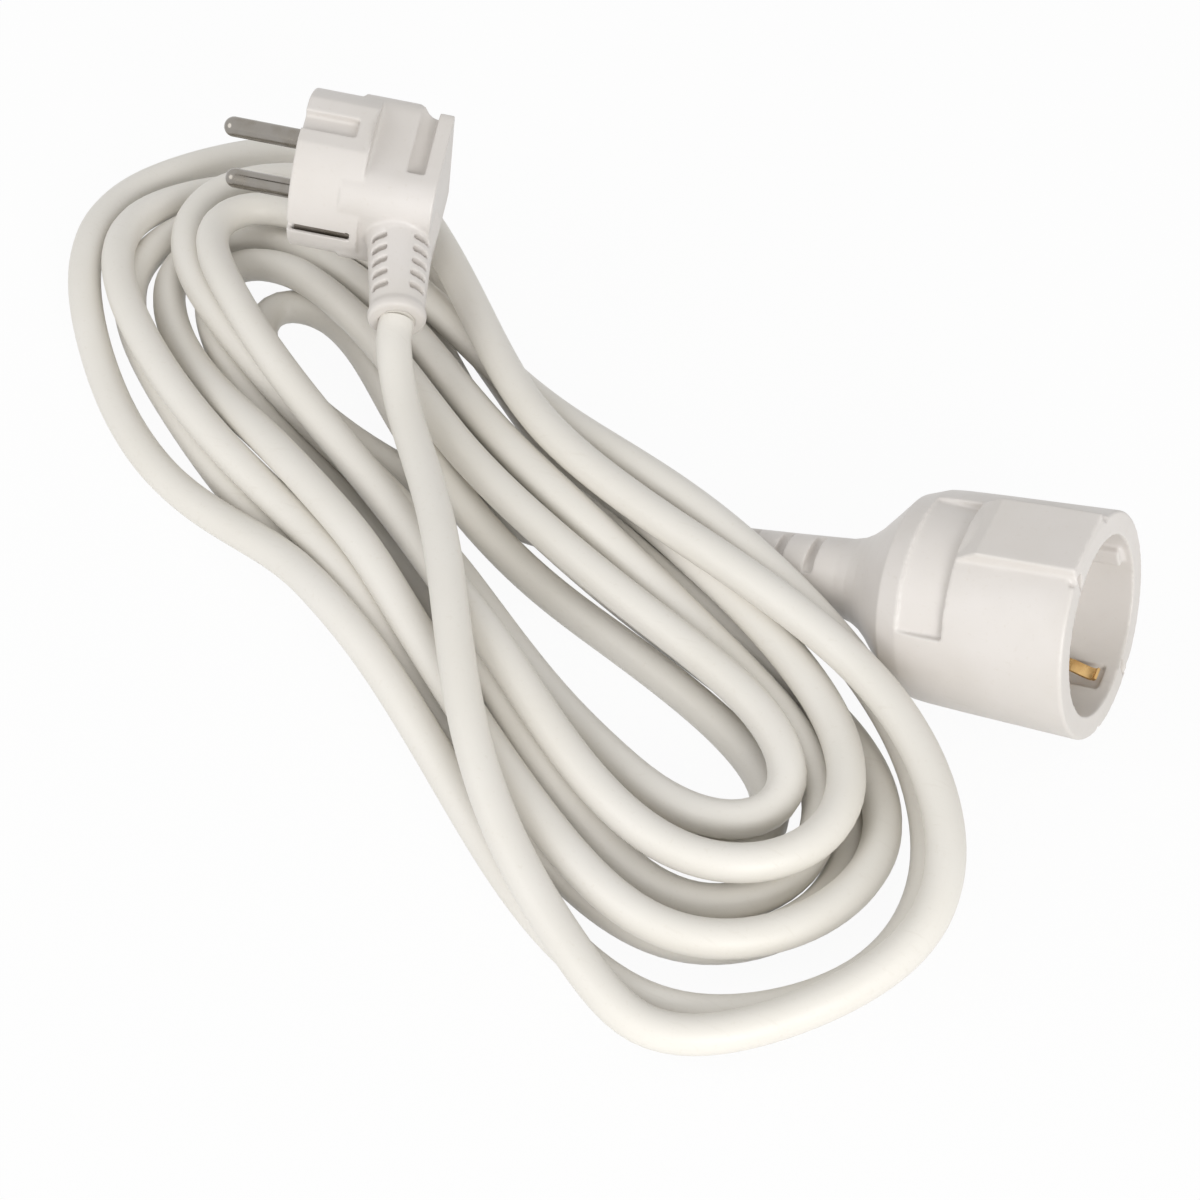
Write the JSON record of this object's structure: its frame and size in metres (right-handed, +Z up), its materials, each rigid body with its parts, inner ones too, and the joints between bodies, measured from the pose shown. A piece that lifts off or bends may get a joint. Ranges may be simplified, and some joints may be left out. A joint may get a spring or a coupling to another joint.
{
  "type": "extension cord",
  "caption": "Earthed extension cord: an angled round-pin plug, a hank of round off-white cord and a round trailing socket with side earth contacts.",
  "frame": {"origin": "on the floor, under the middle of the trailing socket's own box", "axes": "+X horizontally along the socket towards its mouth, +Z up from the floor, +Y across"},
  "size_m": [0.293, 0.2252, 0.0664],
  "materials": {
    "housing": "satin moulded ivory plastic",
    "insert": "moulded white plastic",
    "contact": "pressed brass strip",
    "pin": "nickel-plated, polished",
    "sheath": "satin PVC sheath, off-white",
    "line_core": "brown insulation",
    "neutral_core": "blue insulation",
    "earth_core": "green and yellow insulation"
  },
  "bodies": {
    "root": {"connector_body": "housing", "connector_insert": "insert", "connector_strain_relief": "housing", "line_contact": "contact", "neutral_contact": "contact", "connector_earth_bracket": "contact", "connector_line_core": "line_core", "connector_neutral_core": "neutral_core", "connector_earth_core": "earth_core", "connector_cord_end": "sheath", "plug_body": "housing", "plug_bridge": "insert", "line_pin": "pin", "neutral_pin": "pin", "plug_earth_strap": "contact", "plug_line_core": "line_core", "plug_neutral_core": "neutral_core", "plug_earth_core": "earth_core", "plug_cord_end": "sheath", "plug_strain_relief": "housing", "cord_tail_connector": "sheath", "cord_coil": "sheath", "cord_tail_plug": "sheath"}
  },
  "joints": []
}
